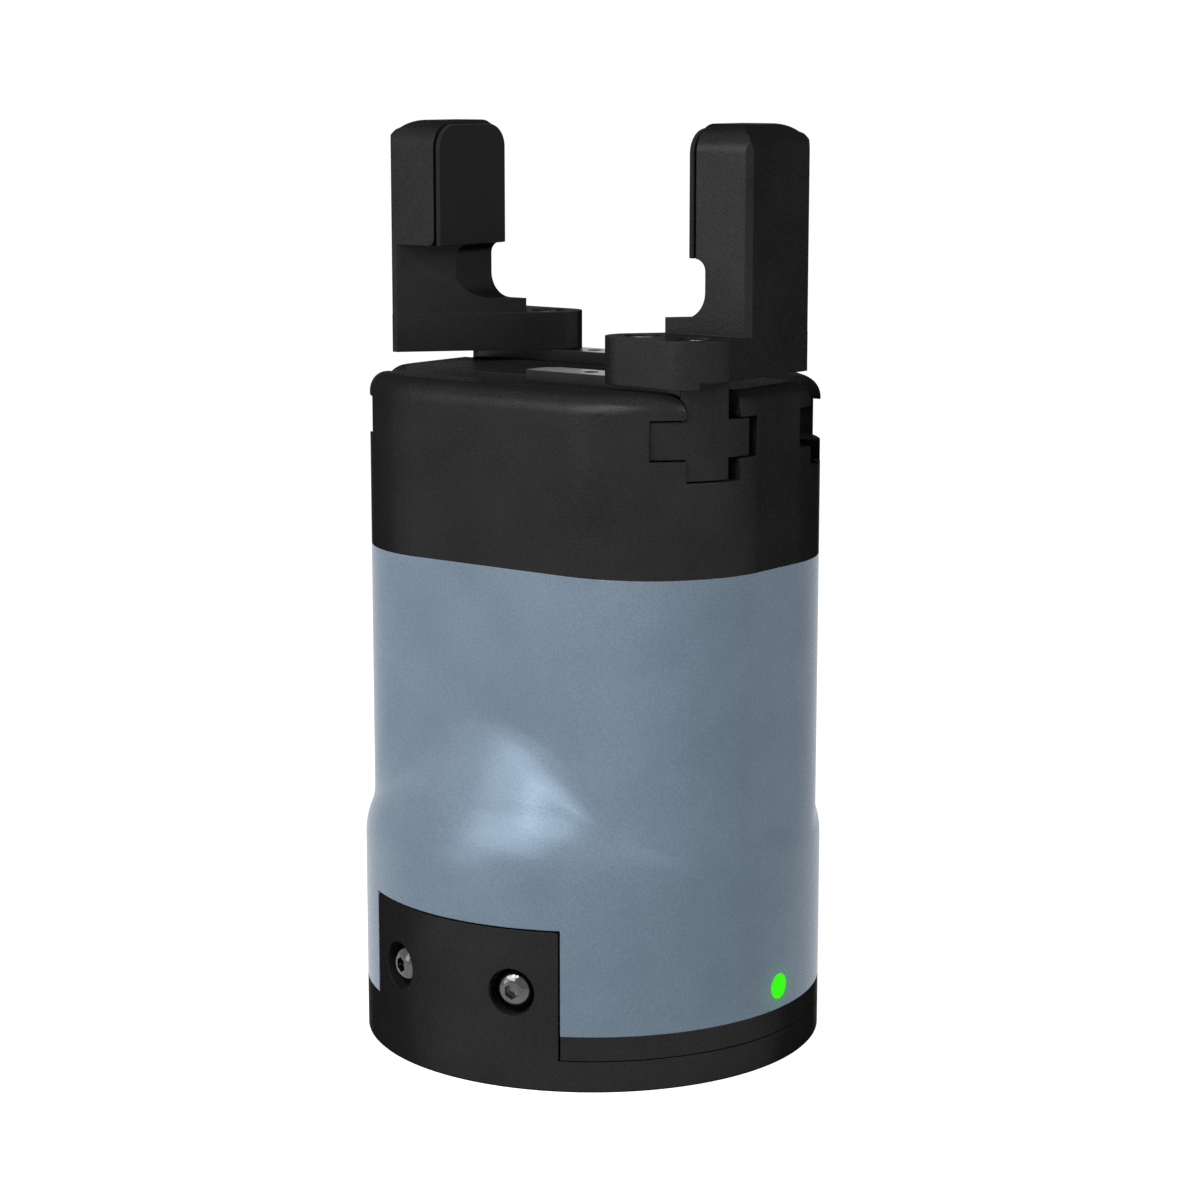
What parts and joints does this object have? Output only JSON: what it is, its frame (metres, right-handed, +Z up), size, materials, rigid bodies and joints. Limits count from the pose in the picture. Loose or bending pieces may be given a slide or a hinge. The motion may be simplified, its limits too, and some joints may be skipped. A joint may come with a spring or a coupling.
{
  "type": "electric two-finger parallel gripper",
  "caption": "Round electric gripper with two parallel sliding fingers on crossed roller slides, driven together by a rack and pinion, on a flange for a robot wrist.",
  "frame": {"origin": "centre of the mounting face, at the bottom of the flange", "axes": "+Z up along the housing towards the fingers, X along the jaw travel, -Y on the side with the visible flange tab"},
  "size_m": [0.09, 0.09, 0.1781],
  "materials": {
    "black_anodised": "satin black anodised aluminium, fine bead-blasted grain",
    "blue_coat": "blue-grey powder coat with a fine grain, semi-matt",
    "finger_black": "satin black anodised aluminium, fine bead-blasted grain",
    "ground_steel": "ground hardened steel",
    "zinc_screw": "dark bright steel fasteners",
    "pad_rubber": "black grip rubber, matt",
    "seal_rubber": "black nitrile seal",
    "light_lens": "green status light lens, lit",
    "board": "green circuit board",
    "component": "black moulded components",
    "stator_core": "lacquered steel laminations",
    "rotor_magnet": "nickel-plated magnet surface",
    "socket_metal": "nickel-plated socket shell",
    "contact": "gold-plated contacts"
  },
  "bodies": {
    "housing": {"base_dowels": "zinc_screw", "base_plate": "black_anodised", "base_seal_ring": "seal_rubber", "bearing_plate": "black_anodised", "bearing_plate_screws": "zinc_screw", "board_components": "component", "board_standoffs": "zinc_screw", "cable_socket_insert": "component", "cable_socket_pins": "contact", "cable_socket_shell": "socket_metal", "drive_board": "board", "encoder_board": "board", "flange_adapter": "black_anodised", "flange_side_screws": "zinc_screw", "guide_cap": "black_anodised", "housing_sleeve": "blue_coat", "left_inner_rail": "ground_steel", "left_outer_rail": "ground_steel", "motor_can": "black_anodised", "motor_lower_bearing": "ground_steel", "motor_stator": "stator_core", "motor_upper_bearing": "ground_steel", "pinion_lower_bearing": "ground_steel", "pinion_upper_bearing": "ground_steel", "power_board": "board", "right_inner_rail": "ground_steel", "right_outer_rail": "ground_steel", "stage_ring_housing": "ground_steel", "status_light_board": "board", "status_light_lens": "light_lens"},
    "right_jaw": {"right_slider": "ground_steel", "right_slide_end_cap": "finger_black", "right_end_cap_pins": "zinc_screw", "right_rack": "ground_steel", "right_rack_screws": "zinc_screw", "right_finger": "finger_black", "right_finger_screws": "zinc_screw", "right_finger_dowel": "zinc_screw", "right_grip_pad": "pad_rubber"},
    "left_jaw": {"left_slider": "ground_steel", "left_slide_end_cap": "finger_black", "left_end_cap_pins": "zinc_screw", "left_rack": "ground_steel", "left_rack_screws": "zinc_screw", "left_finger": "finger_black", "left_finger_screws": "zinc_screw", "left_finger_dowel": "zinc_screw", "left_grip_pad": "pad_rubber"},
    "right_roller_set": {"right_roller_cages": "component", "right_crossed_rollers": "zinc_screw"},
    "left_roller_set": {"left_roller_cages": "component", "left_crossed_rollers": "zinc_screw"},
    "pinion_shaft": {"pinion": "ground_steel", "planet_carrier": "ground_steel"},
    "planet_1": {"planet_gear_1": "ground_steel"},
    "planet_2": {"planet_gear_2": "ground_steel"},
    "planet_3": {"planet_gear_3": "ground_steel"},
    "motor_rotor": {"sun_shaft": "ground_steel", "rotor": "rotor_magnet", "encoder_magnet": "rotor_magnet"}
  },
  "joints": [
    {"name": "right_jaw_slide", "type": "slide", "parent": "housing", "child": "right_jaw", "axis": [-1, 0, 0], "range_m": [0, 0.03]},
    {"name": "left_jaw_slide", "type": "slide", "parent": "housing", "child": "left_jaw", "axis": [1, 0, 0], "range_m": [0, 0.0301]},
    {"name": "right_roller_travel", "type": "slide", "parent": "housing", "child": "right_roller_set", "axis": [-1, 0, 0], "range_m": [0, 0.01501]},
    {"name": "left_roller_travel", "type": "slide", "parent": "housing", "child": "left_roller_set", "axis": [1, 0, 0], "range_m": [0, 0.01501]},
    {"name": "pinion_turn", "type": "hinge", "parent": "housing", "child": "pinion_shaft", "pos_m": [0, 0, 0.1], "axis": [0, 0, -1], "range_deg": [0, 143.5]},
    {"name": "rotor_turn", "type": "hinge", "parent": "housing", "child": "motor_rotor", "pos_m": [0, 0, 0.06], "axis": [0, 0, -1], "range_deg": [0, 573.2]},
    {"name": "planet_1_turn", "type": "hinge", "parent": "pinion_shaft", "child": "planet_1", "pos_m": [0.009, 0, 0.087], "axis": [0, 0, 1], "range_deg": [0, 430]},
    {"name": "planet_2_turn", "type": "hinge", "parent": "pinion_shaft", "child": "planet_2", "pos_m": [-0.0045, 0.00779, 0.087], "axis": [0, 0, 1], "range_deg": [0, 430]},
    {"name": "planet_3_turn", "type": "hinge", "parent": "pinion_shaft", "child": "planet_3", "pos_m": [-0.0045, -0.00779, 0.087], "axis": [0, 0, 1], "range_deg": [0, 430]}
  ],
  "couplings": [
    {"joint": "left_jaw_slide", "follows": "right_jaw_slide", "ratio": 1},
    {"joint": "right_roller_travel", "follows": "right_jaw_slide", "ratio": 0.5},
    {"joint": "left_roller_travel", "follows": "right_jaw_slide", "ratio": 0.5},
    {"joint": "pinion_turn", "follows": "right_jaw_slide", "rad_per_m": 83.333},
    {"joint": "rotor_turn", "follows": "right_jaw_slide", "rad_per_m": 333.33},
    {"joint": "planet_1_turn", "follows": "right_jaw_slide", "rad_per_m": 250},
    {"joint": "planet_2_turn", "follows": "right_jaw_slide", "rad_per_m": 250},
    {"joint": "planet_3_turn", "follows": "right_jaw_slide", "rad_per_m": 250}
  ]
}
